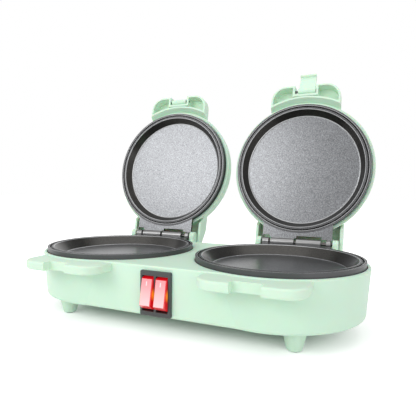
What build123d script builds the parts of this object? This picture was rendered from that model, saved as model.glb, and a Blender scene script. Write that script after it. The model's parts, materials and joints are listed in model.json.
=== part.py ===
from build123d import *
import os
from math import cos, radians, sin, sqrt, tan

# Twin pancake maker: two round cast plates in one moulded base, a hinged lid over each, a snap latch
# at each lid's handle, and a double rocker switch in the front wall.
# Millimetres, +X right, -Y front, +Z up. The origin is on the floor, under the middle of the base.

# Overall sizes
lobe_spacing = 141.0
rim_height = 53.0
leg_height = 14.3
open_angle = 101.4
close_gap = 0.4
wall = 2.4

# Cooking plates, both the lower and the upper
rim_radius = 62.7
rim_width = 1.6
groove_width = 1.6
groove_depth = 1.2
lip_width = 1.7
plate_thickness = 2.4
skirt_depth = 6.8
skirt_thickness = 1.9
lower_dish_depth = 8.0
lower_flat_inset = 12.5
upper_dish_depth = 7.6
upper_flat_inset = 9.4
flat_edge_radius = 1.6

# Base housing
lower_reveal = 3.6
housing_margin = 2.9
housing_draft = 4.5
bridge_inset = 0.7
plate_gap = 0.6
seat_width = 3.6
seat_thickness = 2.2
bottom_edge_radius = 2.2
top_edge_radius = 1.0

# Handles and their latch notches: the ledges of the base, and the trays of the lids
handle_wall = 2.0
ledge_half_width = 34.5
ledge_proud = 19.9
ledge_corner = 14.0
ledge_drop = 0.7
ledge_height = 6.5
ledge_round = 1.5
ledge_notch_proud = 13.3
ledge_notch_half = 9.6
tray_half_width = 33.7
tray_proud = 21.6
tray_corner = 14.5
tray_rim = 3.0
tray_top = 15.6
tray_rim_round = 1.2
tray_top_round = 3.0
tray_bore_proud = 8.3
tray_bore_depth = 7.0
tray_bore_taper = 34.0
tray_arc_wall = 1.7
tray_notch_proud = 12.3
tray_notch_half = 10.35

# Hinges
hinge_proud = 9.8
knuckle_radius = 3.8
knuckle_gap = 0.45
pin_radius = 1.5
pin_clearance = 0.05
apron_half_width = 32.0
apron_near = 0.5
apron_far = 3.5
apron_gap = 0.5
lower_knuckles = ((-31.3, -25.4), (0.4, 22.4))
upper_knuckles = ((-23.4, -1.9), (27.3, 30.9))
ear_thickness = 4.6
ear_margin = 0.5
ear_gap = 0.8
hinge_block_back = 5.6
hinge_block_depth = 26.0
pin_end_gap = 0.5

# Lid covers
upper_reveal = 5.3
cover_margin = 3.4
cover_wall = 2.3
cover_height = 25.0
cover_shoulder = 21.8
cover_shoulder_inset = 1.6
cover_edge_radius = 7.0
hood_gap = 0.7
hood_rear = 7.0
hood_top = 20.6
hood_knee = 12.0
hood_slope_back = -8.0
hood_round = 4.0
stop_gap = 0.3

# Latches
latch_proud = 15.9
latch_rise = 6.0
latch_width = 15.6
latch_hub_width = 17.0
latch_hub_radius = 2.8
latch_thickness = 2.6
latch_edge_radius = 0.8
hook_reach = 3.4
hook_thickness = 2.2
hook_gap = 0.4
latch_pin_radius = 1.2
right_latch_swing = 111.0
right_latch_shift = 1.2
left_latch_swing = 180.0
left_latch_shift = 0.0

# Heating parts behind each plate
element_inset = 26.7
element_tube = 3.3
element_gap = 0.2
element_arc = 320.0
terminal_pin_radius = 1.6
lower_terminal_pin = 6.5
upper_terminal_pin = 2.6
boss_ring_inset = 17.7
boss_radius = 4.0
boss_count = 3
boss_turn = 30.0
reflector_sheet = 0.5
reflector_gap = 1.8
reflector_flange_inset = 1.7
sensor_radius = 8.5
sensor_depth = 9.0
sensor_flange_width = 1.5
sensor_flange = 1.2
sensor_hole_gap = 3.0
plate_screw_radius = 2.0
plate_screw_length = 5.0
plate_screw_head = 3.6
plate_screw_head_height = 1.8
screw_end_gap = 1.0

# Switch
bezel_width = 23.9
bezel_height = 31.1
bezel_thickness = 2.3
bezel_bottom = 15.2
bezel_corner = 1.0
bezel_chamfer = 0.5
switch_shift = 1.5
bezel_side_lap = 0.95
bezel_end_lap = 2.05
switch_body_depth = 22.0
panel_gap = 0.15
window_frame = 1.95
window_bar = 1.6
window_end_frame = 3.2
window_depth = 12.0
rocker_side_gap = 0.3
rocker_end_gap = 0.35
rocker_pivot_depth = 3.0
rocker_proud = 3.2
rocker_face_half = 8.9
rocker_end_rise = 2.2
rocker_edge_chamfer = 0.5
rocker_swing = 22.0
rocker_pin_radius = 1.2
rocker_pin_reach = 0.6
blade_width = 4.8
blade_thickness = 0.8
blade_length = 8.0

# Bottom cover, legs and fasteners
bottom_thickness = 2.2
cover_gap = 0.3
front_leg_out = 21.6
front_leg_inset = 19.8
rear_leg_out = 7.5
rear_leg_inset = 11.7
leg_top_radius = 8.5
leg_foot_radius = 5.0
leg_edge_radius = 1.2
pad_radius = 3.5
pad_thickness = 1.6
pad_proud = 0.5
vent_length = 30.0
vent_width = 3.0
vent_pitch = 9.0
vent_count = 5
case_screw_radius = 1.5
case_screw_head = 3.0
case_screw_head_height = 1.3
case_screw_length = 9.0
screw_fit = 0.05
post_radius = 3.5
post_height = 14.0
post_rib = 2.0
outer_post_inset = 7.3
outer_post_angle = 20.0
bridge_post_x = 20.0
bridge_post_inset = 12.0

# Cord gland and mains terminal block
gland_height = 27.0
gland_radius = 5.4
gland_gap = 0.1
gland_bore = 3.5
gland_flange_radius = 7.6
gland_flange = 2.0
gland_nut = 3.0
block_width = 30.0
block_depth = 15.0
block_height = 11.0
block_back = 34.0
block_corner = 1.5
block_ways = 3
block_way_radius = 2.2

# Heights, radii and places worked out from the sizes above
lower_flat_radius = rim_radius - lower_flat_inset
upper_flat_radius = rim_radius - upper_flat_inset
housing_radius = rim_radius + housing_margin
bridge_half_depth = rim_radius - bridge_inset
ledge_reach = rim_radius + ledge_proud
ledge_notch_floor = rim_radius + ledge_notch_proud
tray_reach = rim_radius + tray_proud
tray_bore = rim_radius + tray_bore_proud
tray_notch_floor = rim_radius + tray_notch_proud
hinge_back = rim_radius + hinge_proud
hinge_rise = knuckle_radius + knuckle_gap - lower_reveal
ear_radius = knuckle_radius + ear_margin
cover_radius = rim_radius + cover_margin
latch_back = rim_radius + latch_proud
element_radius = rim_radius - element_inset
boss_ring_radius = rim_radius - boss_ring_inset
reflector_flange_radius = rim_radius - reflector_flange_inset
outer_post_radius = rim_radius - outer_post_inset
bridge_post_y = bridge_half_depth - bridge_post_inset
switch_width = bezel_width - 2 * bezel_side_lap
switch_height = bezel_height - 2 * bezel_end_lap
window_width = (bezel_width - 2 * window_frame - window_bar) / 2
window_height = bezel_height - 2 * window_end_frame
window_pitch = window_width + window_bar
housing_top = rim_height - lower_reveal
housing_height = housing_top - leg_height
housing_low_radius = housing_radius - housing_height * tan(radians(housing_draft))
seat_height = rim_height - skirt_depth
opening_radius = rim_radius + plate_gap
hinge_height = rim_height + hinge_rise
lid_axis_rise = hinge_rise - close_gap
bottom_top = leg_height + bottom_thickness
ledge_top = housing_top - ledge_drop
ledge_bottom = ledge_top - ledge_height
ear_inner = apron_half_width + ear_gap
ear_outer = ear_inner + ear_thickness
hood_inner = ear_outer + hood_gap
hood_half_width = hood_inner + cover_wall
stop_reach = hinge_block_back + stop_gap - hood_rear * cos(radians(open_angle))
hood_lip = lid_axis_rise + stop_reach / sin(radians(open_angle))
mouth_radius = rim_radius - rim_width - groove_width - lip_width
bezel_middle = bezel_bottom + bezel_height / 2
case_screw_hole = case_screw_radius + screw_fit
post_wall_reach = housing_low_radius - wall / 2 - outer_post_radius
lobes = {"left": -lobe_spacing / 2, "right": lobe_spacing / 2}
leg_places = [
    (side * (lobe_spacing / 2 + out), y)
    for out, y in (
        (front_leg_out, front_leg_inset - rim_radius),
        (rear_leg_out, rim_radius - rear_leg_inset),
    )
    for side in (-1, 1)
]
outer_posts = [
    Plane(origin=(lobe_x, 0, bottom_top), x_dir=(cos(radians(turn)), sin(radians(turn)), 0))
    for lobe_x, middle in zip(lobes.values(), (180, 0))
    for turn in (middle - outer_post_angle, middle + outer_post_angle)
]
post_places = [
    (side * bridge_post_x, end * bridge_post_y) for side in (-1, 1) for end in (-1, 1)
] + [
    tuple(plane.from_local_coords((outer_post_radius, 0, 0)))[:2] for plane in outer_posts
]

os.makedirs("parts", exist_ok=True)


def save(part, name):
    """Names a finished piece and writes it."""
    part.label = name
    export_step(part, f"parts/{name}.step")


def turned_plane(point, angle):
    """A frame at a point, with its Y and Z turned back about X by an angle."""
    return Plane(
        origin=point, x_dir=(1, 0, 0), z_dir=(0, sin(radians(angle)), cos(radians(angle)))
    )


def spun_plane(frame, angle):
    """The same frame, turned about its own Z by an angle."""
    turn = Axis((0, 0, 0), frame.z_dir)
    return Plane(origin=frame.origin, x_dir=frame.x_dir.rotate(turn, angle), z_dir=frame.z_dir)


def side_plane(frame, x=0.0):
    """The frame's YZ plane at a given x, facing +X: a sketch there is drawn in (y, z)."""
    return Plane(
        origin=frame.from_local_coords((x, 0, 0)), x_dir=frame.y_dir, z_dir=frame.x_dir
    )


def section_plane(frame):
    """The frame's XZ plane: a sketch there is drawn in (radius, height)."""
    return Plane(origin=frame.origin, x_dir=frame.x_dir, z_dir=-frame.y_dir)


def lid_frame(lobe_x):
    """The open lid's own frame, on its mating plane at its middle: +Y to the hinge, +Z to its top."""
    turn = turned_plane((lobe_x, hinge_back, hinge_height), open_angle)
    return turned_plane(turn.from_local_coords((0, -hinge_back, -lid_axis_rise)), open_angle)


def lower_face(lobe_x):
    """Frame of a lower plate: on its rim plane, +Z down into the base and +Y to the front."""
    return Plane(origin=(lobe_x, 0, rim_height), x_dir=(1, 0, 0), z_dir=(0, 0, -1))


def upper_face(lobe_x):
    """Frame of an upper plate: on its rim plane, +Z into the lid and +Y to the handle."""
    lid = lid_frame(lobe_x)
    return Plane(origin=lid.origin, x_dir=-lid.x_dir, z_dir=lid.z_dir)


def disc(plane, radius):
    """A round face on a plane."""
    with BuildSketch(plane) as face:
        Circle(radius)
    return face.sketch


def handle_outline(plane, half_width, reach, corner, inset=0.0):
    """Plan of a handle, from inside the round wall out to its tip, with round front corners."""
    root = housing_radius / 2
    length = reach - inset - root
    with BuildSketch(plane) as outline:
        with Locations((0, -root - length / 2)):
            Rectangle(2 * (half_width - inset), length)
        fillet(outline.vertices().group_by(Axis.Y)[0], corner - inset)
    return outline.sketch


def notch_outline(plane, half_width, floor, margin=0.0):
    """Plan of a latch notch, open to the front."""
    length = tray_reach - floor + handle_wall + margin
    with BuildSketch(plane) as outline:
        with Locations((0, -floor + margin - length / 2)):
            Rectangle(2 * (half_width + margin), length)
    return outline.sketch


def ledge_outline(plane, inset=0.0):
    return handle_outline(plane, ledge_half_width, ledge_reach, ledge_corner, inset)


def tray_outline(plane, inset=0.0):
    return handle_outline(plane, tray_half_width, tray_reach, tray_corner, inset)


def rounded_slab(outline, height, low_round, high_round):
    """A handle's solid block, with its lower and upper edges rounded."""
    upward = Axis(outline.center(), outline.faces()[0].normal_at())
    with BuildPart() as slab:
        extrude(outline, amount=height)
        fillet(slab.faces().sort_by(upward)[0].edges(), low_round)
        fillet(slab.faces().sort_by(upward)[-1].edges(), high_round)
    return slab.part


# Base housing: two round cups and the bridge between them, open below, with the plates' seats,
# the handle ledges, the hinge blocks with their ears, the screw posts and the switch opening.
def hinge_block_outline(plane, inset=0.0):
    """Side view of a hinge block, which juts out behind a lobe and slopes in below."""
    top = housing_top - inset
    back = hinge_back + hinge_block_back - inset
    low = housing_top - hinge_block_depth + inset
    front = bridge_half_depth - hinge_block_depth
    with BuildSketch(plane) as outline:
        with BuildLine():
            Polyline(
                (front, top),
                (back, top),
                (back, housing_top - hinge_block_depth / 2 + inset / 2),
                (bridge_half_depth - inset, low),
                (front, low),
                close=True,
            )
        make_face()
    return outline.sketch


def ear_outline(plane):
    """Side view of an ear, with a round top about the hinge line."""
    with BuildSketch(plane) as outline:
        with Locations((hinge_back, hinge_height)):
            Circle(ear_radius)
        with Locations((hinge_back, (hinge_height + housing_top - wall) / 2)):
            Rectangle(2 * ear_radius, hinge_height - housing_top + wall)
    return outline.sketch


with BuildPart() as housing:
    for lobe_x in lobes.values():
        top = Plane(origin=(lobe_x, 0, housing_top))
        extrude(disc(top, housing_radius), amount=-housing_height, taper=housing_draft)
    with BuildSketch(Plane.XY.offset(housing_top)):
        Rectangle(lobe_spacing, 2 * bridge_half_depth)
    extrude(amount=-housing_height)
    fillet(housing.edges().group_by(Axis.Z)[0], bottom_edge_radius)
    fillet(housing.edges().group_by(Axis.Z)[-1], top_edge_radius)
    for lobe_x in lobes.values():
        ledge_plane = Plane(origin=(lobe_x, 0, ledge_bottom))
        add(rounded_slab(ledge_outline(ledge_plane), ledge_height, ledge_round, ledge_round))
        extrude(
            notch_outline(ledge_plane, ledge_notch_half, ledge_notch_floor),
            amount=ledge_height,
            mode=Mode.SUBTRACT,
        )
        extrude(
            hinge_block_outline(Plane.YZ.offset(lobe_x - ear_outer)), amount=2 * ear_outer
        )
    with BuildSketch(Plane.XY.offset(leg_height)):
        with Locations(*[(x, 0) for x in lobes.values()]):
            Circle(housing_low_radius - wall)
    extrude(amount=housing_height - wall, taper=-housing_draft, mode=Mode.SUBTRACT)
    with BuildSketch(Plane.XY.offset(leg_height)):
        Rectangle(lobe_spacing, 2 * (bridge_half_depth - wall))
    extrude(amount=housing_height - wall, mode=Mode.SUBTRACT)
    for lobe_x in lobes.values():
        block_inner = ear_outer - wall
        extrude(
            hinge_block_outline(Plane.YZ.offset(lobe_x - block_inner), wall),
            amount=2 * block_inner,
            mode=Mode.SUBTRACT,
        )
        for near in (-ear_outer, ear_inner):
            extrude(ear_outline(Plane.YZ.offset(lobe_x + near)), amount=ear_thickness)
        seat = Plane(origin=(lobe_x, 0, seat_height))
        extrude(
            disc(seat.offset(-seat_thickness), opening_radius + wall / 2),
            amount=seat_thickness + wall,
        )
        extrude(disc(seat, opening_radius), amount=skirt_depth, mode=Mode.SUBTRACT)
        extrude(
            disc(seat, opening_radius - seat_width),
            amount=-seat_thickness,
            mode=Mode.SUBTRACT,
        )
        with BuildSketch(Plane(origin=(lobe_x, 0, ledge_bottom))):
            add(ledge_outline(Plane.XY, handle_wall))
            Circle(housing_radius + handle_wall, mode=Mode.SUBTRACT)
            floor = notch_outline(Plane.XY, ledge_notch_half, ledge_notch_floor, handle_wall)
            add(floor, mode=Mode.SUBTRACT)
        extrude(amount=ledge_height - handle_wall, mode=Mode.SUBTRACT)
    for plane in outer_posts:
        with BuildSketch(plane):
            with Locations((outer_post_radius + post_wall_reach / 2, 0)):
                Rectangle(post_wall_reach, post_rib)
            with Locations((outer_post_radius, 0)):
                Circle(post_radius)
        extrude(amount=post_height)
    with BuildSketch(Plane.XY.offset(bottom_top)):
        with GridLocations(2 * bridge_post_x, 2 * bridge_post_y, 2, 2):
            Circle(post_radius)
    extrude(amount=housing_top - wall - bottom_top)
    with BuildSketch(Plane.XY.offset(bottom_top)):
        with Locations(*post_places):
            Circle(case_screw_hole)
    extrude(amount=case_screw_length, mode=Mode.SUBTRACT)
    with BuildSketch(Plane.XZ.offset(bridge_half_depth)):
        with Locations((switch_shift, bezel_middle)):
            Rectangle(switch_width + 2 * panel_gap, switch_height + 2 * panel_gap)
    extrude(amount=-wall, mode=Mode.SUBTRACT)
    with BuildSketch(Plane.XZ.offset(-bridge_half_depth)):
        with Locations((0, gland_height)):
            Circle(gland_radius + gland_gap)
    extrude(amount=wall, mode=Mode.SUBTRACT)
save(housing.part, "base_housing")

# Bottom cover: a flat plate that closes the base from below, with four conical legs, vent slots
# and recessed screw holes.
with BuildPart() as bottom:
    with BuildSketch(Plane.XY.offset(leg_height)):
        with Locations(*[(x, 0) for x in lobes.values()]):
            Circle(housing_low_radius - wall - cover_gap)
        Rectangle(lobe_spacing, 2 * (bridge_half_depth - wall - cover_gap))
    extrude(amount=bottom_thickness)
    for place in leg_places:
        with BuildSketch(Plane(origin=(*place, leg_height))):
            Circle(leg_top_radius)
        with BuildSketch(Plane(origin=(*place, pad_proud))):
            Circle(leg_foot_radius)
        loft()
    feet = bottom.faces().sort_by(Axis.Z)[:4]
    fillet([edge for foot in feet for edge in foot.edges()], leg_edge_radius)
    with BuildSketch(Plane.XY.offset(pad_proud)):
        with Locations(*leg_places):
            Circle(pad_radius)
    extrude(amount=pad_thickness - pad_proud, mode=Mode.SUBTRACT)
    with BuildSketch(Plane.XY.offset(leg_height)):
        for lobe_x in lobes.values():
            with Locations((lobe_x, 0)):
                with GridLocations(0, vent_pitch, 1, vent_count):
                    SlotOverall(vent_length, vent_width)
        with Locations(*post_places):
            Circle(case_screw_hole)
    extrude(amount=bottom_thickness, mode=Mode.SUBTRACT)
    with BuildSketch(Plane.XY.offset(leg_height)):
        with Locations(*post_places):
            Circle(case_screw_head + screw_fit)
    extrude(amount=case_screw_head_height, mode=Mode.SUBTRACT)
save(bottom.part, "bottom_cover")

with BuildPart() as pads:
    with BuildSketch(Plane.XY):
        with Locations(*leg_places):
            Circle(pad_radius)
    extrude(amount=pad_thickness)
save(pads.part, "foot_pads")

with BuildPart() as case_screws:
    for radius, length in (
        (case_screw_head, case_screw_head_height),
        (case_screw_radius, bottom_thickness + case_screw_length - screw_end_gap),
    ):
        with BuildSketch(Plane.XY.offset(leg_height)):
            with Locations(*post_places):
                Circle(radius)
        extrude(amount=length)
save(case_screws.part, "bottom_screws")


# Cooking plates: round dishes with a double rim, cast in one piece with an apron and its hinge
# knuckles. The frame is on the rim plane with +Z away from the food.
def cooking_plate(face, dish_depth, flat_radius, axis_depth, knuckles):
    back = dish_depth + plate_thickness
    under_lip = rim_radius - skirt_thickness
    step = groove_depth + plate_thickness
    groove_inner = mouth_radius + lip_width
    groove_outer = groove_inner + groove_width
    boss_height = 2 * (element_tube + element_gap)
    with BuildPart() as plate:
        with BuildSketch(section_plane(face)) as profile:
            with BuildLine():
                Polyline(
                    (0, dish_depth),
                    (flat_radius, dish_depth),
                    (mouth_radius, 0),
                    (groove_inner, 0),
                    (groove_inner, groove_depth),
                    (groove_outer, groove_depth),
                    (groove_outer, 0),
                    (rim_radius, 0),
                    (rim_radius, skirt_depth),
                    (under_lip, skirt_depth),
                    (under_lip, step),
                    (mouth_radius + plate_thickness / 2, step),
                    (flat_radius + plate_thickness / 2, back),
                    (0, back),
                    close=True,
                )
            make_face()
            corner = profile.vertices().sort_by_distance((flat_radius, dish_depth))[0]
            fillet(corner, flat_edge_radius)
        revolve(axis=Axis(face.origin, face.z_dir))
        with BuildSketch(face.offset(apron_near)):
            apron_end = hinge_back - knuckle_radius - apron_gap
            with Locations((0, -apron_end / 2)):
                Rectangle(2 * apron_half_width, apron_end)
            Circle(rim_radius - rim_width / 2, mode=Mode.SUBTRACT)
        extrude(amount=apron_far - apron_near)
        for start, end in knuckles:
            with BuildSketch(face.offset(apron_near)):
                with Locations(((start + end) / 2, -hinge_back + knuckle_radius)):
                    Rectangle(end - start, 2 * knuckle_radius)
            extrude(amount=apron_far - apron_near)
            barrel = side_plane(face, start)
            for radius, mode in (
                (knuckle_radius, Mode.ADD),
                (pin_radius + pin_clearance, Mode.SUBTRACT),
            ):
                with BuildSketch(barrel):
                    with Locations((-hinge_back, axis_depth)):
                        Circle(radius)
                extrude(amount=end - start, mode=mode)
        with BuildSketch(face.offset(back)):
            with PolarLocations(boss_ring_radius, boss_count, boss_turn):
                Circle(boss_radius)
        extrude(amount=boss_height)
        with BuildSketch(face.offset(back + boss_height)):
            with PolarLocations(boss_ring_radius, boss_count, boss_turn):
                Circle(plate_screw_radius + screw_fit)
        extrude(amount=-plate_screw_length, mode=Mode.SUBTRACT)
    return plate.part


# Heating element: a bent tube whose two terminal pins turn away from the plate.
element_start = -90 + (360 - element_arc) / 2


def heating_element(face, dish_depth, pin_length):
    middle = dish_depth + plate_thickness + element_gap + element_tube
    with BuildPart() as element:
        with BuildSketch(section_plane(spun_plane(face, element_start))):
            with Locations((element_radius, middle)):
                Circle(element_tube)
        revolve(axis=Axis(face.origin, face.z_dir), revolution_arc=element_arc)
        with BuildSketch(face.offset(middle)):
            with PolarLocations(element_radius, 2, element_start, element_arc, endpoint=True):
                Circle(terminal_pin_radius)
        extrude(amount=element_tube + element_gap + reflector_sheet + pin_length)
    return element.part


# Reflector: a pressed steel dish that clamps the plate to its seat and keeps the heat off the case.
def reflector(face, dish_depth, flat_radius):
    inner = flat_radius + plate_thickness / 2 + reflector_gap
    floor = dish_depth + plate_thickness + 2 * (element_tube + element_gap)
    flange = skirt_depth + seat_thickness
    with BuildPart() as dish:
        with BuildSketch(section_plane(face)):
            with BuildLine():
                Polyline(
                    (sensor_radius + sensor_hole_gap, floor),
                    (inner, floor),
                    (inner, flange),
                    (reflector_flange_radius, flange),
                    (reflector_flange_radius, flange + reflector_sheet),
                    (inner + reflector_sheet, flange + reflector_sheet),
                    (inner + reflector_sheet, floor + reflector_sheet),
                    (sensor_radius + sensor_hole_gap, floor + reflector_sheet),
                    close=True,
                )
            make_face()
        revolve(axis=Axis(face.origin, face.z_dir))
        with BuildSketch(face.offset(floor)):
            with PolarLocations(boss_ring_radius, boss_count, boss_turn):
                Circle(plate_screw_radius + screw_fit)
            with PolarLocations(element_radius, 2, element_start, element_arc, endpoint=True):
                Circle(2 * terminal_pin_radius)
        extrude(amount=reflector_sheet, mode=Mode.SUBTRACT)
    return dish.part


def plate_screws(face, dish_depth):
    """Three screws that hold the reflector to the plate's bosses."""
    floor = dish_depth + plate_thickness + 2 * (element_tube + element_gap)
    with BuildPart() as screws:
        for radius, length in (
            (plate_screw_head, plate_screw_head_height),
            (plate_screw_radius, screw_end_gap - plate_screw_length),
        ):
            with BuildSketch(face.offset(floor + reflector_sheet)):
                with PolarLocations(boss_ring_radius, boss_count, boss_turn):
                    Circle(radius)
            extrude(amount=length)
    return screws.part


def thermostat(face, dish_depth):
    """Snap-action thermostat on the middle of the plate's back, with two blade terminals."""
    back = dish_depth + plate_thickness
    with BuildPart() as sensor:
        extrude(disc(face.offset(back), sensor_radius), amount=sensor_depth)
        extrude(disc(face.offset(back), sensor_radius + sensor_flange_width), amount=sensor_flange)
        with BuildSketch(face.offset(back + sensor_depth)):
            with GridLocations(sensor_radius, 0, 2, 1):
                Rectangle(blade_thickness, blade_width)
        extrude(amount=blade_length / 2)
    return sensor.part


for side, lobe_x in lobes.items():
    face = lower_face(lobe_x)
    plate = cooking_plate(face, lower_dish_depth, lower_flat_radius, -hinge_rise, lower_knuckles)
    save(plate, f"{side}_lower_plate")
    element = heating_element(face, lower_dish_depth, lower_terminal_pin)
    save(element, f"{side}_lower_element")
    save(reflector(face, lower_dish_depth, lower_flat_radius), f"{side}_lower_reflector")
    save(plate_screws(face, lower_dish_depth), f"{side}_lower_plate_screws")
    save(thermostat(face, lower_dish_depth), f"{side}_thermostat")
    face = upper_face(lobe_x)
    facing = tuple((-end, -start) for start, end in upper_knuckles)
    plate = cooking_plate(face, upper_dish_depth, upper_flat_radius, lid_axis_rise, facing)
    save(plate, f"{side}_upper_plate")
    element = heating_element(face, upper_dish_depth, upper_terminal_pin)
    save(element, f"{side}_upper_element")
    save(reflector(face, upper_dish_depth, upper_flat_radius), f"{side}_upper_reflector")
    save(plate_screws(face, upper_dish_depth), f"{side}_upper_plate_screws")

# Hinge pins, trapped between the ears of the base.
for side, lobe_x in lobes.items():
    pin_half = ear_inner - pin_end_gap
    with BuildPart() as hinge_pin:
        with BuildSketch(Plane.YZ.offset(lobe_x - pin_half)):
            with Locations((hinge_back, hinge_height)):
                Circle(pin_radius)
        extrude(amount=2 * pin_half)
        chamfer(hinge_pin.edges(), 0.3)
    save(hinge_pin.part, f"{side}_hinge_pin")


# Lid covers: a crowned round shell with a seat for the plate, an open-bottomed handle tray with the
# latch notch, and a hood over the hinge.
def cover_profile(frame, inset=0.0):
    """Half section of the crowned shell, filled to the middle."""
    radius = cover_radius - inset
    shoulder_radius = radius - cover_shoulder_inset
    height = cover_height - inset
    shoulder = cover_shoulder - inset
    with BuildSketch(section_plane(frame)) as profile:
        with BuildLine():
            TangentArc((0, height), (shoulder_radius, shoulder), tangent=(1, 0))
            Polyline(
                (shoulder_radius, shoulder), (radius, upper_reveal), (0, upper_reveal), (0, height)
            )
        make_face()
        corner = profile.vertices().sort_by_distance((shoulder_radius, shoulder))[0]
        fillet(corner, cover_edge_radius - inset)
    return profile.sketch


def hood_outline(plane, inset=0.0):
    """Side view of the hood over the hinge, in the lid's own y and z."""
    back = hinge_back + hood_rear - inset
    knee = (back, hood_knee - inset / 2)
    slope = (hinge_back + hood_slope_back - inset / 2, hood_top - inset)
    with BuildSketch(plane) as outline:
        with BuildLine():
            Polyline(
                (hinge_back / 2, upper_reveal),
                (back, upper_reveal),
                knee,
                slope,
                (hinge_back / 2, cover_shoulder - inset),
                close=True,
            )
        make_face()
        for point in (knee, slope):
            fillet(outline.vertices().sort_by_distance(point)[0], hood_round - inset / 2)
    return outline.sketch


def lid_cover(lobe_x):
    lid = lid_frame(lobe_x)
    axis = Axis(lid.origin, lid.z_dir)
    rim = lid.offset(tray_rim)
    tray_height = tray_top - tray_rim
    with BuildPart() as cover:
        extrude(hood_outline(side_plane(lid, -hood_half_width)), amount=2 * hood_half_width)
        extrude(
            hood_outline(side_plane(lid, -hood_inner), cover_wall),
            amount=2 * hood_inner,
            mode=Mode.SUBTRACT,
        )
        with BuildSketch(lid.offset(upper_reveal)):
            with Locations((0, hinge_back)):
                Rectangle(2 * hood_inner, 4 * hood_rear)
        extrude(amount=hood_lip - upper_reveal, mode=Mode.SUBTRACT)
        add(rounded_slab(tray_outline(rim), tray_height, tray_rim_round, tray_top_round))
        extrude(
            notch_outline(rim, tray_notch_half, tray_notch_floor),
            amount=tray_height,
            mode=Mode.SUBTRACT,
        )
        extrude(
            disc(rim, tray_bore),
            amount=tray_bore_depth,
            taper=tray_bore_taper,
            mode=Mode.SUBTRACT,
        )
        revolve(cover_profile(lid), axis=axis)
        revolve(cover_profile(lid, cover_wall), axis=axis, mode=Mode.SUBTRACT)
        seat = lid.offset(skirt_depth)
        extrude(disc(seat, cover_radius - cover_wall / 2), amount=seat_thickness)
        extrude(
            disc(seat, opening_radius - seat_width),
            amount=seat_thickness,
            mode=Mode.SUBTRACT,
        )
        with BuildSketch(rim):
            add(tray_outline(Plane.XY, handle_wall))
            Circle(tray_bore + tray_arc_wall, mode=Mode.SUBTRACT)
            floor = notch_outline(Plane.XY, tray_notch_half, tray_notch_floor, handle_wall)
            add(floor, mode=Mode.SUBTRACT)
        extrude(amount=tray_height - handle_wall, mode=Mode.SUBTRACT)
        bore_half = tray_notch_half + handle_wall
        with BuildSketch(side_plane(lid, -bore_half)):
            with Locations((-latch_back, latch_rise)):
                Circle(latch_pin_radius + pin_clearance)
        extrude(amount=2 * bore_half, mode=Mode.SUBTRACT)
    return cover.part


# Latches: a tab that turns on a pin in the lid's notch and hooks under the ledge of the base.
def latch(lobe_x, swing, shift):
    """The tab, turned back from its hooked place by its swing, and slid along its pin by a shift."""
    pivot = lid_frame(lobe_x).from_local_coords((shift, -latch_back, latch_rise))
    frame = turned_plane(pivot, open_angle + swing)
    hook_top = ledge_bottom - hook_gap - (rim_height + close_gap + latch_rise)
    tip = hook_top - hook_thickness
    half = latch_thickness / 2
    with BuildPart() as tab:
        with BuildSketch(side_plane(frame, -latch_width / 2)):
            with BuildLine():
                Polyline(
                    (-half, 0),
                    (-half, hook_top),
                    (half / 2 - half, tip),
                    (half + hook_reach - hook_thickness / 2, tip),
                    (half + hook_reach, hook_top),
                    (half, hook_top),
                    (half, 0),
                    close=True,
                )
            make_face()
        extrude(amount=latch_width)
        fillet(tab.edges().filter_by(Axis.X), latch_edge_radius)
        hub = side_plane(frame, -latch_hub_width / 2)
        extrude(disc(hub, latch_hub_radius), amount=latch_hub_width)
        bore = latch_pin_radius + pin_clearance
        extrude(disc(hub, bore), amount=latch_hub_width, mode=Mode.SUBTRACT)
    return tab.part


def latch_pin(lobe_x):
    half = tray_notch_half + handle_wall
    with BuildPart() as pin:
        with BuildSketch(side_plane(lid_frame(lobe_x), -half)):
            with Locations((-latch_back, latch_rise)):
                Circle(latch_pin_radius)
        extrude(amount=2 * half)
    return pin.part


for side, lobe_x in lobes.items():
    save(lid_cover(lobe_x), f"{side}_lid_cover")
    save(latch_pin(lobe_x), f"{side}_latch_pin")
save(latch(lobes["left"], left_latch_swing, left_latch_shift), "left_latch")
save(latch(lobes["right"], right_latch_swing, right_latch_shift), "right_latch")

# Switch: a black snap-in body with a bezel, and two rockers on stub pins, each pressed at its top.
front = Plane.XZ.offset(bridge_half_depth)
pivot_y = -bridge_half_depth + rocker_pivot_depth
window_places = (switch_shift - window_pitch / 2, switch_shift + window_pitch / 2)
with BuildPart() as switch:
    with BuildSketch(front):
        with Locations((switch_shift, bezel_middle)):
            Rectangle(bezel_width, bezel_height)
    extrude(amount=bezel_thickness)
    fillet(switch.edges().filter_by(Axis.Y), bezel_corner)
    chamfer(switch.faces().sort_by(Axis.Y)[0].edges(), bezel_chamfer)
    with BuildSketch(front):
        with Locations((switch_shift, bezel_middle)):
            Rectangle(switch_width, switch_height)
    extrude(amount=-switch_body_depth)
    with BuildSketch(front.offset(bezel_thickness)):
        with Locations(*[(place_x, bezel_middle) for place_x in window_places]):
            Rectangle(window_width, window_height)
    extrude(amount=-bezel_thickness - window_depth, mode=Mode.SUBTRACT)
    for place_x in window_places:
        half = window_width / 2 + rocker_pin_reach + pin_clearance
        with BuildSketch(Plane.YZ.offset(place_x - half)):
            with Locations((pivot_y, bezel_middle)):
                Circle(rocker_pin_radius + pin_clearance)
        extrude(amount=2 * half, mode=Mode.SUBTRACT)
save(switch.part, "switch_body")


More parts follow.
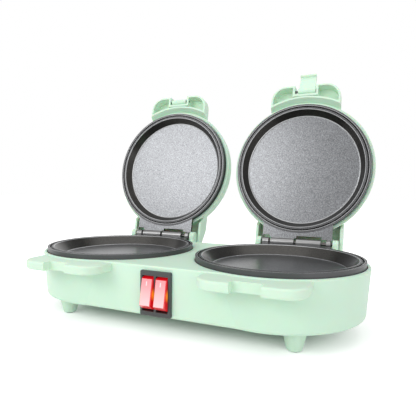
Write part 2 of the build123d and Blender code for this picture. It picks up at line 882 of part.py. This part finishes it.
def rocker(place_x):
    """A rocker with a flat face and sloped ends, tilted so that its foot stands out."""
    frame = turned_plane((place_x, pivot_y, bezel_middle), rocker_swing / 2)
    half = window_width / 2 - rocker_side_gap
    swing_radius = window_height / 2 - rocker_end_gap
    face_y = -rocker_pivot_depth - bezel_thickness - rocker_proud
    end_z = rocker_face_half + rocker_end_rise
    end_y = -sqrt(swing_radius**2 - end_z**2)
    stub = half + rocker_side_gap + rocker_pin_reach
    with BuildPart() as button:
        with BuildSketch(side_plane(frame, -half)):
            with BuildLine():
                Polyline(
                    (0, -swing_radius),
                    (end_y, -end_z),
                    (face_y, -rocker_face_half),
                    (face_y, rocker_face_half),
                    (end_y, end_z),
                    (0, swing_radius),
                    (rocker_pin_radius * 2, 0),
                    close=True,
                )
            make_face()
        extrude(amount=2 * half)
        middle = frame.from_local_coords((0, face_y, 0))
        face = button.faces().sort_by_distance(middle)[0]
        chamfer(face.edges().filter_by(Axis.X, reverse=True), rocker_edge_chamfer)
        extrude(disc(side_plane(frame, -stub), rocker_pin_radius), amount=2 * stub)
    return button.part


for name, place_x in zip(("left_rocker", "right_rocker"), window_places):
    save(rocker(place_x), name)

with BuildPart() as blades:
    with BuildSketch(front.offset(-switch_body_depth)):
        with Locations((switch_shift, bezel_middle)):
            with GridLocations(window_pitch, blade_length, 2, 3):
                Rectangle(blade_width, blade_thickness)
    extrude(amount=-blade_length)
save(blades.part, "switch_terminals")

# Cord gland: a bush in the rear wall with a bore for the mains lead, held by its inner nut.
with BuildPart() as gland:
    back = Plane.XZ.offset(-bridge_half_depth)
    for plane, radius, length in (
        (back, gland_flange_radius, -gland_flange),
        (back, gland_radius, wall + gland_nut),
        (back.offset(wall), gland_flange_radius, gland_nut),
    ):
        with BuildSketch(plane):
            with Locations((0, gland_height)):
                Circle(radius)
        extrude(amount=length)
    with BuildSketch(back.offset(wall + gland_nut)):
        with Locations((0, gland_height)):
            Circle(gland_bore)
    extrude(amount=-(wall + gland_nut + gland_flange), mode=Mode.SUBTRACT)
save(gland.part, "cord_gland")

# Terminal block on the bottom cover, with three ways for the mains wires.
with BuildPart() as block:
    with BuildSketch(Plane.XY.offset(bottom_top)):
        with Locations((0, block_back)):
            RectangleRounded(block_width, block_depth, block_corner)
    extrude(amount=block_height)
    with BuildSketch(Plane.XZ.offset(-(block_back + block_depth / 2))):
        with Locations((0, bottom_top + block_height / 2)):
            with GridLocations(block_width / block_ways, 0, block_ways, 1):
                Circle(block_way_radius)
    extrude(amount=block_depth, mode=Mode.SUBTRACT)
save(block.part, "terminal_block")
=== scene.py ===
import json
import math

import bmesh
import bpy
from mathutils import Matrix, Vector


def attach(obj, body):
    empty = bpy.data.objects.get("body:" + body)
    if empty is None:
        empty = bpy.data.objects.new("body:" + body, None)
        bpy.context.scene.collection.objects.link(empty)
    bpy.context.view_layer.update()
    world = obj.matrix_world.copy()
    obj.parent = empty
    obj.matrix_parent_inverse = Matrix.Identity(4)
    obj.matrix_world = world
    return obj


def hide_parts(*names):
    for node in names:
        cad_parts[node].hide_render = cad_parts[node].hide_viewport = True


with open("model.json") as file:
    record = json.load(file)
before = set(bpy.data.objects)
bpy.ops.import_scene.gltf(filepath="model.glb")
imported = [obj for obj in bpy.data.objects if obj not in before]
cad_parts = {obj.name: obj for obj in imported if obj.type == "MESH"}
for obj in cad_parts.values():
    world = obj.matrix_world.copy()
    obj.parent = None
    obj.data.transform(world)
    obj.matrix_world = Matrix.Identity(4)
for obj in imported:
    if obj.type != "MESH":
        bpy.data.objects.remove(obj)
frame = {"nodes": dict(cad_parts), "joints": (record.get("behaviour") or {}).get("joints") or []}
nodes = frame["nodes"]
scene = bpy.context.scene
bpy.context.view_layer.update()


# The case is one injection moulding in pastel green ABS: two round cups, the bridge between them,
# the front handle ledges and the hinge ears. Its satin skin has the faint orange peel of a polished mould,
# and its edges are a little paler than the rest.
def group_tree(name, inputs, outputs):
    tree = bpy.data.node_groups.new(name, "ShaderNodeTree")
    for label, kind, value in inputs:
        socket = tree.interface.new_socket(label, in_out="INPUT", socket_type=f"NodeSocket{kind}")
        socket.default_value = value
    for label, kind in outputs:
        tree.interface.new_socket(label, in_out="OUTPUT", socket_type=f"NodeSocket{kind}")
    return tree, tree.nodes.new("NodeGroupInput"), tree.nodes.new("NodeGroupOutput")


def put(tree, kind, settings=None, **inputs):
    """A new shader node. Its inputs go by name, or by place where several share a name (_0 is the first)."""
    node = tree.nodes.new(f"ShaderNode{kind}")
    for label, value in (settings or {}).items():
        setattr(node, label, value)
    for label, value in inputs.items():
        place = int(label[1:]) if label[0] == "_" else label.replace("_", " ")
        if isinstance(value, bpy.types.NodeSocket):
            tree.links.new(value, node.inputs[place])
        else:
            node.inputs[place].default_value = value
    return node


def maths(tree, operation, *values):
    inputs = {f"_{place}": value for place, value in enumerate(values)}
    return put(tree, "Math", {"operation": operation}, **inputs).outputs[0]


def vector_maths(tree, operation, *values):
    inputs = {f"_{place}": value for place, value in enumerate(values)}
    node = put(tree, "VectorMath", {"operation": operation}, **inputs)
    return node.outputs["Value" if operation in ("LENGTH", "DOT_PRODUCT") else "Vector"]


def mixed(tree, factor, first, second):
    return put(tree, "Mix", {"data_type": "RGBA"}, _0=factor, _6=first, _7=second).outputs[2]


def ramp(tree, value, start=0.0, end=1.0, low=0.0, high=1.0, eased=False):
    """A number that goes from low to high as the value goes from start to end."""
    settings = {"interpolation_type": "SMOOTHSTEP" if eased else "LINEAR"}
    node = put(tree, "MapRange", settings, Value=value, From_Min=start, From_Max=end, To_Min=low, To_Max=high)
    return node.outputs["Result"]


def srgb(red, green, blue):
    """An sRGB colour, each part from 0 to 255, as the linear colour that a shader takes."""
    parts = [c / 255 for c in (red, green, blue)]
    return tuple(c / 12.92 if c <= 0.04045 else ((c + 0.055) / 1.055) ** 2.4 for c in parts) + (1.0,)


grain, grain_in, grain_out = group_tree(
    "surface_grain",
    [("Scale", "Float", 900.0), ("Depth", "Float", 0.5),
     ("Peel Scale", "Float", 160.0), ("Peel Depth", "Float", 0.2)],
    [("Height", "Float"), ("Mottle", "Float"), ("Speckle", "Float")],
)
mottle_scale = 22.0
place = put(grain, "TexCoord").outputs["Object"]
fine = put(grain, "TexNoise", Vector=place, Scale=grain_in.outputs["Scale"], Detail=3.0, Roughness=0.6)
peel = put(grain, "TexNoise", Vector=place, Scale=grain_in.outputs["Peel Scale"], Detail=1.0)
broad = put(grain, "TexNoise", Vector=place, Scale=mottle_scale, Detail=3.0)
fine_height = maths(grain, "MULTIPLY", fine.outputs[0], grain_in.outputs["Depth"])
peel_height = maths(grain, "MULTIPLY", peel.outputs[0], grain_in.outputs["Peel Depth"])
grain.links.new(maths(grain, "ADD", fine_height, peel_height), grain_out.inputs["Height"])
grain.links.new(broad.outputs[0], grain_out.inputs["Mottle"])
grain.links.new(fine.outputs[0], grain_out.inputs["Speckle"])

# A mask of the rounded edges. The small mouldings use it for wear, the plates for a painted highlight, and
# the case for its paler edges.
edges, edges_in, edges_out = group_tree(
    "edge_wear_and_highlight",
    [("Width", "Float", 0.0006), ("Strength", "Float", 1.0)],
    [("Mask", "Float")],
)
edge_starts, edge_full = 0.995, 0.8
patch_scale = 90.0
rounded_normal = put(edges, "Bevel", {"samples": 4}, Radius=edges_in.outputs["Width"]).outputs[0]
true_normal = put(edges, "NewGeometry").outputs["Normal"]
turned = vector_maths(edges, "DOT_PRODUCT", rounded_normal, true_normal)
edge = ramp(edges, turned, start=edge_starts, end=edge_full)
own_place = put(edges, "TexCoord").outputs["Object"]
patch = put(edges, "TexNoise", Vector=own_place, Scale=patch_scale, Detail=4.0)
patchy_edge = maths(edges, "MULTIPLY", edge, patch.outputs[0])
edges.links.new(maths(edges, "MULTIPLY", patchy_edge, edges_in.outputs["Strength"]), edges_out.inputs["Mask"])


def finish_of(name, **settings):
    material = bpy.data.materials.new(name)
    material.use_nodes = True
    shader = material.node_tree.nodes["Principled BSDF"]
    for label, value in settings.items():
        shader.inputs[label.replace("_", " ")].default_value = value
    return material, material.node_tree, shader


def grained(tree, scale, depth, peel_scale, peel_depth):
    """The grain group, placed in a material. A larger scale makes a finer grain."""
    node = put(tree, "Group", {"node_tree": grain}, Scale=scale, Depth=depth, Peel_Scale=peel_scale,
               Peel_Depth=peel_depth)
    return node.outputs


def edge_mask(tree, width, strength):
    return put(tree, "Group", {"node_tree": edges}, Width=width, Strength=strength).outputs["Mask"]


def bumped(tree, shader, height, distance):
    bump = put(tree, "Bump", Height=height, Distance=distance)
    tree.links.new(bump.outputs[0], shader.inputs["Normal"])


def dress(material, *names):
    for name in names:
        slots = nodes[name].data.materials
        slots.clear()
        slots.append(material)


case_deep, case_pale, case_edge = srgb(209, 238, 216), srgb(215, 242, 222), srgb(240, 248, 240)
case_edge_width, case_edge_paling = 0.0006, 0.5
case_smoothest, case_roughest = 0.41, 0.52
case_relief = 0.00002

case_green, tree, shader = finish_of("case_green", Specular_IOR_Level=0.35, Subsurface_Weight=0.25,
                                     Subsurface_Scale=0.005)
texture = grained(tree, scale=1400.0, depth=0.3, peel_scale=260.0, peel_depth=1.0)
tint = mixed(tree, texture["Mottle"], case_deep, case_pale)
paled = mixed(tree, edge_mask(tree, case_edge_width, case_edge_paling), tint, case_edge)
tree.links.new(paled, shader.inputs["Base Color"])
satin = ramp(tree, texture["Mottle"], low=case_smoothest, high=case_roughest)
tree.links.new(satin, shader.inputs["Roughness"])
bumped(tree, shader, texture["Height"], case_relief)
dress(case_green, "base_housing")


# The lower and upper plates are cast aluminium, with a dark non-stick coating over the whole casting.
# The flat and the hinge apron have a fine metallic grain, and the steep wall is plainer.
# The wall and the turned lip are painted darker than the flat, as painted shade, and the lip's groove,
# which seals against the other plate, is painted black as painted shade.
# Thin painted highlights run round the mouth, the rim and the flat's edge, and along the rounded edges.
lobe_pitch = 0.141
lower_lip_height, lid_lip_height = 0.0530, 0.0534
lid_joint = next(joint for joint in frame["joints"] if joint["name"] == "right_lid_hinge")
hinge_line = Vector((0.0, *lid_joint["pos_m"][1:]))
open_turn = Matrix.Rotation(-math.radians(lid_joint["range_deg"][1]), 3, "X")

mouth_radius, lip_radius, groove_radius, rim_radius = 0.0578, 0.0595, 0.0611, 0.0632
lower_flat_radius, lid_flat_radius = 0.0502, 0.0533
# The width of the thin painted highlight rings.
highlight_reach = 0.0003
knuckle_radius = 0.0041

flat_dark, flat_light = srgb(98, 99, 101), srgb(137, 139, 142)
# The wall colours are painted shade, darker than the flat's.
wall_shade_dark, wall_shade_light = srgb(50, 49, 47), srgb(66, 64, 61)
# The lip and groove colours on the next line are painted shade, and the last grey is a painted highlight.
lip_shade_grey, groove_shade_black, crest_highlight_grey = srgb(80, 80, 82), srgb(20, 20, 20), srgb(176, 177, 178)
# The first grey on the next line is a painted highlight on the rounded edges.
edge_highlight_grey, knuckle_grey = srgb(168, 169, 170), srgb(136, 136, 136)
flake_starts, flake_full = 0.4, 0.66
flat_facing, wall_facing = 0.97, 0.85
# The width and strength of the painted highlight on the rounded edges.
edge_highlight_width, edge_highlight_strength = 0.0005, 1.3
dullest, brightest = 0.78, 0.88
flat_smoothest, flat_roughest, lip_rougher = 0.25, 0.34, 0.25
coating_relief = 0.00004


def ring(tree, radius, inner, outer):
    """One between the two radii, and zero elsewhere."""
    past_inner = maths(tree, "GREATER_THAN", radius, inner)
    within_outer = maths(tree, "LESS_THAN", radius, outer)
    return maths(tree, "MULTIPLY", past_inner, within_outer)


def plate_coat(name, centre, face_way, flat_radius):
    material, tree, shader = finish_of(name, Coat_Weight=0.25, Coat_Roughness=0.2)
    texture = grained(tree, scale=1100.0, depth=0.6, peel_scale=300.0, peel_depth=0.2)
    own = put(tree, "TexCoord").outputs
    from_centre = vector_maths(tree, "SUBTRACT", own["Object"], centre)
    along_axis = vector_maths(tree, "PROJECT", from_centre, face_way)
    outward = vector_maths(tree, "SUBTRACT", from_centre, along_axis)
    radius = vector_maths(tree, "LENGTH", outward)
    facing = vector_maths(tree, "DOT_PRODUCT", own["Normal"], face_way)

    flake = ramp(tree, texture["Speckle"], start=flake_starts, end=flake_full)
    flat = mixed(tree, flake, flat_dark, flat_light)
    wall = mixed(tree, flake, wall_shade_dark, wall_shade_light)
    # Painted shade: the steep wall is coloured darker than the flat.
    steep_shade = ramp(tree, facing, start=flat_facing, end=wall_facing)
    on_lip = ring(tree, radius, mouth_radius, rim_radius)
    # Painted shade: the lip is coloured a darker grey than the flat.
    lip_shaded = mixed(tree, on_lip, mixed(tree, steep_shade, flat, wall), lip_shade_grey)
    # Painted shade: the groove is coloured black.
    groove_shaded = mixed(tree, ring(tree, radius, lip_radius, groove_radius), lip_shaded, groove_shade_black)

    # Painted highlights: thin pale rings round the mouth, the rim and the flat's edge.
    mouth_highlight = ring(tree, radius, mouth_radius - highlight_reach, mouth_radius + highlight_reach)
    rim_highlight = ring(tree, radius, groove_radius, groove_radius + highlight_reach)
    flat_highlight = ring(tree, radius, flat_radius - highlight_reach, flat_radius + highlight_reach)
    crest_highlight = maths(tree, "MAXIMUM", maths(tree, "MAXIMUM", mouth_highlight, rim_highlight), flat_highlight)
    crest_highlighted = mixed(tree, crest_highlight, groove_shaded, crest_highlight_grey)
    # Painted highlight: the rounded edges are coloured a pale grey.
    edge_highlighted = mixed(tree, edge_mask(tree, edge_highlight_width, edge_highlight_strength), crest_highlighted, edge_highlight_grey)

    from_hinge = vector_maths(tree, "SUBTRACT", own["Object"], hinge_line)
    across_hinge = vector_maths(tree, "MULTIPLY", from_hinge, (0.0, 1.0, 1.0))
    knuckle = maths(tree, "LESS_THAN", vector_maths(tree, "LENGTH", across_hinge), knuckle_radius)
    tree.links.new(mixed(tree, knuckle, edge_highlighted, knuckle_grey), shader.inputs["Base Color"])
    tree.links.new(ramp(tree, texture["Mottle"], low=dullest, high=brightest), shader.inputs["Metallic"])
    fine_sheen = ramp(tree, texture["Speckle"], low=flat_smoothest, high=flat_roughest)
    sheen = maths(tree, "ADD", fine_sheen, maths(tree, "MULTIPLY", on_lip, lip_rougher))
    tree.links.new(sheen, shader.inputs["Roughness"])
    bumped(tree, shader, texture["Height"], coating_relief)
    return material


# Each lid plate's apron has two notches, which clear the lower plate's knuckles when the lid stands open.
# The plates come without them, so a copy of each lid plate is notched here and takes its place.
# The copy's normals are made anew, so that its flat still looks flat.
apron_end = 0.0682
apron_middle = 0.0020
cutter_thickness = 0.0060
notch_depth = 0.0022
lower_knuckles = ((-0.0318, -0.0249), (-0.0001, 0.0229))
weld_distance = 0.000002
sharp_angle = math.radians(28.0)
flat_face_weight = 100


def notch_cutter(centre):
    """Two blocks across the end of the apron, turned as the open lid is."""
    mesh = bmesh.new()
    for start, end in lower_knuckles:
        middle = Vector(((start + end) / 2, apron_end, apron_middle))
        size = Matrix.Diagonal((end - start, 2 * notch_depth, cutter_thickness, 1.0))
        bmesh.ops.create_cube(mesh, size=1.0, matrix=Matrix.Translation(middle) @ size)
    bmesh.ops.transform(mesh, matrix=Matrix.Translation(centre) @ open_turn.to_4x4(), verts=mesh.verts)
    cutter_mesh = bpy.data.meshes.new("notch_cutter")
    mesh.to_mesh(cutter_mesh)
    mesh.free()
    cutter = bpy.data.objects.new("notch_cutter", cutter_mesh)
    scene.collection.objects.link(cutter)
    return cutter


def welded_copy(node):
    """The node's mesh with its split edges joined, because a cut needs a closed mesh."""
    mesh = bmesh.new()
    mesh.from_mesh(node.data)
    bmesh.ops.remove_doubles(mesh, verts=mesh.verts, dist=weld_distance)
    blank_mesh = bpy.data.meshes.new("apron_blank")
    mesh.to_mesh(blank_mesh)
    mesh.free()
    blank = bpy.data.objects.new("apron_blank", blank_mesh)
    scene.collection.objects.link(blank)
    return blank


def notched_plate(side, centre, material):
    blank = welded_copy(nodes[f"{side}_upper_plate"])
    cutter = notch_cutter(centre)
    cut = blank.modifiers.new("notches", "BOOLEAN")
    cut.operation = "DIFFERENCE"
    cut.solver = "EXACT"
    cut.object = cutter
    notched = blank.evaluated_get(bpy.context.evaluated_depsgraph_get())
    mesh = bpy.data.meshes.new_from_object(notched)
    bpy.data.objects.remove(blank)
    bpy.data.objects.remove(cutter)

    if "custom_normal" in mesh.attributes:
        mesh.attributes.remove(mesh.attributes["custom_normal"])
    mesh.shade_smooth()
    mesh.set_sharp_from_angle(angle=sharp_angle)
    mesh.materials.clear()
    mesh.materials.append(material)
    piece = bpy.data.objects.new(f"{side}_notched_plate", mesh)
    scene.collection.objects.link(piece)
    even = piece.modifiers.new("flat_normals", "WEIGHTED_NORMAL")
    even.mode = "FACE_AREA"
    even.weight = flat_face_weight
    even.keep_sharp = True
    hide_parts(f"{side}_upper_plate")
    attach(piece, f"{side}_lid")


lower_way = Vector((0.0, 0.0, 1.0))
lid_way = open_turn @ Vector((0.0, 0.0, -1.0))
for side, sign in (("left", -1), ("right", 1)):
    lower_centre = Vector((sign * lobe_pitch / 2, 0.0, lower_lip_height))
    closed_centre = Vector((sign * lobe_pitch / 2, 0.0, lid_lip_height))
    lid_centre = open_turn @ (closed_centre - hinge_line) + hinge_line
    lower_coat = plate_coat(f"{side}_lower_coat", lower_centre, lower_way, lower_flat_radius)
    lid_coat = plate_coat(f"{side}_lid_coat", lid_centre, lid_way, lid_flat_radius)
    dress(lower_coat, f"{side}_lower_plate")
    notched_plate(side, lid_centre, lid_coat)


# The heating elements are tubes of dull steel, clamped behind each plate by a pressed bright steel sheet.
# The screws that hold the sheets and the bottom cover are zinc-plated.
# The hinge and latch pins are plain turned steel.
metal_smoother, metal_rougher = 0.05, 0.1
metal_relief = 0.00003


def metal(name, dark, light, roughness):
    material, tree, shader = finish_of(name, Metallic=1.0)
    texture = grained(tree, scale=1800.0, depth=0.6, peel_scale=500.0, peel_depth=0.3)
    tree.links.new(mixed(tree, texture["Mottle"], dark, light), shader.inputs["Base Color"])
    brushed = ramp(tree, texture["Speckle"], low=roughness - metal_smoother, high=roughness + metal_rougher)
    tree.links.new(brushed, shader.inputs["Roughness"])
    bumped(tree, shader, texture["Height"], metal_relief)
    return material


element_steel = metal("element_steel", dark=srgb(92, 88, 84), light=srgb(130, 126, 120), roughness=0.5)
reflector_steel = metal("reflector_steel", dark=srgb(190, 190, 190), light=srgb(212, 212, 214),
                        roughness=0.25)
screw_zinc = metal("screw_zinc", dark=srgb(170, 172, 176), light=srgb(196, 197, 198), roughness=0.3)
pin_steel = metal("pin_steel", dark=srgb(84, 83, 82), light=srgb(112, 110, 108), roughness=0.4)
for side in ("left", "right"):
    dress(element_steel, f"{side}_lower_element", f"{side}_upper_element")
    dress(reflector_steel, f"{side}_lower_reflector", f"{side}_upper_reflector")
    dress(screw_zinc, f"{side}_lower_plate_screws", f"{side}_upper_plate_screws")
    dress(pin_steel, f"{side}_hinge_pin", f"{side}_latch_pin")
dress(screw_zinc, "bottom_screws")


# The thermostats, the switch's body, the cord's gland and the terminal block are small mouldings,
# brown, black or off-white. The switch's bezel is satin black nylon with a fine spark-eroded grain.
# The switch's terminals are stamped brass.
moulding_edge_width, moulding_edge_wear = 0.0004, 0.7
moulding_smoother, moulding_rougher = 0.06, 0.08
moulding_relief = 0.00004


def small_moulding(name, dark, light, roughness):
    material, tree, shader = finish_of(name)
    texture = grained(tree, scale=2200.0, depth=1.0, peel_scale=400.0, peel_depth=0.3)
    tint = mixed(tree, texture["Mottle"], dark, light)
    worn = mixed(tree, edge_mask(tree, moulding_edge_width, moulding_edge_wear), tint, light)
    tree.links.new(worn, shader.inputs["Base Color"])
    eroded = ramp(tree, texture["Speckle"], low=roughness - moulding_smoother,
                  high=roughness + moulding_rougher)
    tree.links.new(eroded, shader.inputs["Roughness"])
    bumped(tree, shader, texture["Height"], moulding_relief)
    return material


thermostat_brown = small_moulding("thermostat_brown", dark=srgb(48, 36, 30), light=srgb(62, 50, 42),
                                  roughness=0.6)
switch_black = small_moulding("switch_black", dark=srgb(52, 54, 54), light=srgb(66, 68, 68), roughness=0.42)
block_white = small_moulding("block_white", dark=srgb(222, 219, 210), light=srgb(232, 230, 224),
                             roughness=0.5)
terminal_brass = metal("terminal_brass", dark=srgb(196, 164, 96), light=srgb(214, 184, 120), roughness=0.3)
dress(thermostat_brown, "left_thermostat", "right_thermostat")
dress(switch_black, "switch_body", "cord_gland")
dress(block_white, "terminal_block")
dress(terminal_brass, "switch_terminals")


# The two rockers are glossy clear red mouldings, each lit from inside by a small neon lamp.
# Their flat faces are painted pale, as a painted reflection of the lamps above, and redder near the top,
# as painted shade from the bezel's edge. A short bar is printed near the top of each.
# The glow is orange where the lamp sits close behind the side walls.
switch_middle = Vector((0.0015, -0.0590, 0.03075))
rocker_pitch = 0.0108
rocker_tilt = math.radians(11.0)
rocker_way = (0.0, -math.cos(rocker_tilt), math.sin(rocker_tilt))
rise_way = (0.0, math.sin(rocker_tilt), math.cos(rocker_tilt))
side_facing, face_facing = 0.8, 0.97
face_top, face_bottom = 0.007, -0.008
lamp_along, lamp_outward = -0.001, 0.004
glow_ends, glow_full = 0.0055, 0.0005
bar_half_width, bar_half_length, bar_along_face = 0.00035, 0.0015, 0.0058

clear_dark, clear_light = srgb(196, 8, 24), srgb(222, 22, 30)
# The two face colours are a painted reflection, redder at the top as painted shade; the bar's colour is
# print.
face_reflection_top_shaded, face_reflection_bottom, bar_pale = srgb(240, 150, 156), srgb(248, 206, 208), srgb(252, 232, 234)
wall_glow_far, wall_glow_near = srgb(150, 3, 14), srgb(255, 168, 24)
face_glow_far, face_glow_near = srgb(160, 56, 60), srgb(206, 128, 78)
rocker_relief = 0.00001

rocker_red, tree, shader = finish_of("rocker_red", Roughness=0.16, Coat_Weight=1.0, Coat_Roughness=0.06,
                                     Emission_Strength=0.8)
texture = grained(tree, scale=500.0, depth=0.2, peel_scale=150.0, peel_depth=1.0)
own = put(tree, "TexCoord").outputs
from_pivot = vector_maths(tree, "SUBTRACT", own["Object"], switch_middle)
across = put(tree, "SeparateXYZ", _0=from_pivot).outputs["X"]
off_middle = maths(tree, "SUBTRACT", maths(tree, "ABSOLUTE", across), rocker_pitch / 2)
along = vector_maths(tree, "DOT_PRODUCT", from_pivot, rise_way)
outward = vector_maths(tree, "DOT_PRODUCT", from_pivot, rocker_way)
facing = vector_maths(tree, "DOT_PRODUCT", own["Normal"], rocker_way)
on_face = ramp(tree, facing, start=side_facing, end=face_facing, eased=True)

lamp_offset = put(tree, "CombineXYZ", X=maths(tree, "SUBTRACT", along, lamp_along),
                  Y=maths(tree, "SUBTRACT", outward, lamp_outward)).outputs[0]
glow = ramp(tree, vector_maths(tree, "LENGTH", lamp_offset), start=glow_ends, end=glow_full, eased=True)
within_width = maths(tree, "LESS_THAN", maths(tree, "ABSOLUTE", off_middle), bar_half_width)
from_bar = maths(tree, "ABSOLUTE", maths(tree, "SUBTRACT", along, bar_along_face))
within_length = maths(tree, "LESS_THAN", from_bar, bar_half_length)
bar = maths(tree, "MULTIPLY", maths(tree, "MULTIPLY", within_width, within_length), on_face)

clear_red = mixed(tree, texture["Mottle"], clear_dark, clear_light)
# Painted reflection and shade: the face is pale towards the bottom and redder towards the top.
face_reflection = mixed(tree, ramp(tree, along, start=face_top, end=face_bottom), face_reflection_top_shaded, face_reflection_bottom)
rocker_skin = mixed(tree, on_face, clear_red, face_reflection)
tree.links.new(mixed(tree, bar, rocker_skin, bar_pale), shader.inputs["Base Color"])
wall_glow = mixed(tree, glow, wall_glow_far, wall_glow_near)
face_glow = mixed(tree, glow, face_glow_far, face_glow_near)
tree.links.new(mixed(tree, on_face, wall_glow, face_glow), shader.inputs["Emission Color"])
bumped(tree, shader, texture["Height"], rocker_relief)
dress(rocker_red, "left_rocker", "right_rocker")


# The bottom cover is a flat moulding in the same green, screwed up into the case, with four conical legs.
# Round pads of soft black rubber are pressed into the legs' feet.
rubber_dark, rubber_light = srgb(28, 28, 28), srgb(52, 51, 50)
rubber_smoothest, rubber_roughest = 0.6, 0.85
rubber_relief = 0.0001

pad_rubber, tree, shader = finish_of("pad_rubber", Specular_IOR_Level=0.3)
texture = grained(tree, scale=1200.0, depth=1.0, peel_scale=300.0, peel_depth=0.5)
tree.links.new(mixed(tree, texture["Mottle"], rubber_dark, rubber_light), shader.inputs["Base Color"])
dull = ramp(tree, texture["Speckle"], low=rubber_smoothest, high=rubber_roughest)
tree.links.new(dull, shader.inputs["Roughness"])
bumped(tree, shader, texture["Height"], rubber_relief)
dress(case_green, "bottom_cover")
dress(pad_rubber, "foot_pads")


# Each lid cover is a crowned shell in the case's green, with a hood over the hinge and a hollow handle.
# The latch is a thin sprung tab, moulded in the same green, on a steel pin at the lid's handle.
for side in ("left", "right"):
    dress(case_green, f"{side}_lid_cover", f"{side}_latch")


# The cooker stands on a wide, flat white sheet in a white room, under broad soft lamps.
# The sheet shows white to the camera and keeps the cooker's soft shadow.
# The sheet's own light fades out under the case, where the shadow is deepest.
floor_half = 4.0
base_round = 0.066
near_fade_starts, near_fade_ends, near_most = -0.042, -0.004, 0.4
far_fade_starts, far_fade_ends, far_most = 0.0, 0.1, 0.3

floor_mesh = bpy.data.meshes.new("floor")
floor_mesh.from_pydata([(-floor_half, -floor_half, 0), (floor_half, -floor_half, 0),
                        (floor_half, floor_half, 0), (-floor_half, floor_half, 0)], [], [(0, 1, 2, 3)])
floor = bpy.data.objects.new("floor", floor_mesh)
scene.collection.objects.link(floor)

sheet_white, tree, shader = finish_of("sheet_white", Base_Color=(0.95, 0.95, 0.95, 1.0), Roughness=0.9,
                                      Specular_IOR_Level=0.1, Emission_Color=(1.0, 1.0, 1.0, 1.0))
floor_axes = put(tree, "SeparateXYZ", _0=put(tree, "TexCoord").outputs["Object"]).outputs
past_lobe = maths(tree, "SUBTRACT", maths(tree, "ABSOLUTE", floor_axes["X"]), lobe_pitch / 2)
from_lobes = put(tree, "CombineXYZ", X=maths(tree, "MAXIMUM", 0.0, past_lobe), Y=floor_axes["Y"]).outputs[0]
off_base = maths(tree, "SUBTRACT", vector_maths(tree, "LENGTH", from_lobes), base_round)
near_light = ramp(tree, off_base, start=near_fade_starts, end=near_fade_ends, high=near_most, eased=True)
far_light = ramp(tree, off_base, start=far_fade_starts, end=far_fade_ends, high=far_most, eased=True)


def backdrop_rays(tree):
    """One for the rays that show the backdrop: those of the camera, of gloss and of glass."""
    seen = put(tree, "LightPath").outputs
    mirrored = maths(tree, "MAXIMUM", seen["Is Glossy Ray"], seen["Is Transmission Ray"])
    return maths(tree, "MAXIMUM", seen["Is Camera Ray"], mirrored)


own_light = maths(tree, "MULTIPLY", backdrop_rays(tree), maths(tree, "ADD", near_light, far_light))
tree.links.new(own_light, shader.inputs["Emission Strength"])
floor_mesh.materials.append(sheet_white)

room_light, backdrop_white = 0.52, 1.0
world = bpy.data.worlds.new("studio")
scene.world = world
world.use_nodes = True
tree = world.node_tree
backdrop = tree.nodes["Background"]
backdrop.inputs["Color"].default_value = (1.0, 1.0, 1.0, 1.0)
strength = ramp(tree, backdrop_rays(tree), low=room_light, high=backdrop_white)
tree.links.new(strength, backdrop.inputs["Strength"])


def softbox(name, place, target, size, power):
    lamp = bpy.data.lights.new(name, "AREA")
    lamp.shape = "RECTANGLE"
    lamp.size, lamp.size_y = size
    lamp.energy = power
    holder = bpy.data.objects.new(name, lamp)
    scene.collection.objects.link(holder)
    holder.location = place
    holder.rotation_mode = "QUATERNION"
    holder.rotation_quaternion = (Vector(target) - Vector(place)).to_track_quat("-Z", "Y")


softbox("key_softbox", place=(-0.64, -1.09, 0.72), target=(0, 0, 0.08), size=(0.86, 0.6), power=6.3)
softbox("fill_softbox", place=(1.0, -1.1, 0.6), target=(0, 0, 0.08), size=(1.2, 1.0), power=4.5)
softbox("top_softbox", place=(0.1, -0.15, 1.1), target=(0, 0, 0.05), size=(1.4, 0.8), power=3.3)


# The camera stands in front of the cooker's right end, about 5 cm above the rims of its lower plates.
# It looks left and slightly down, so it sees the lower plates at a low angle and the lids nearly face on.
camera_place = Vector((0.1366, -0.2890, 0.10205))
camera_yaw, camera_pitch, camera_roll = 0.40581, -0.04736, 0.01116
camera_data = bpy.data.cameras.new("camera")
camera_data.lens = 33.57
camera_data.sensor_width = 36.0
camera_data.clip_start = 0.01
camera = bpy.data.objects.new("camera", camera_data)
scene.collection.objects.link(camera)
ahead = Vector((-math.sin(camera_yaw) * math.cos(camera_pitch),
                math.cos(camera_yaw) * math.cos(camera_pitch),
                math.sin(camera_pitch)))
level_right = ahead.cross(Vector((0, 0, 1))).normalized()
level_up = level_right.cross(ahead)
right = level_right * math.cos(camera_roll) + level_up * math.sin(camera_roll)
up = level_up * math.cos(camera_roll) - level_right * math.sin(camera_roll)
camera.matrix_world = Matrix.Translation(camera_place) @ Matrix((right, up, -ahead)).transposed().to_4x4()
scene.camera = camera
scene.view_settings.view_transform = "Standard"
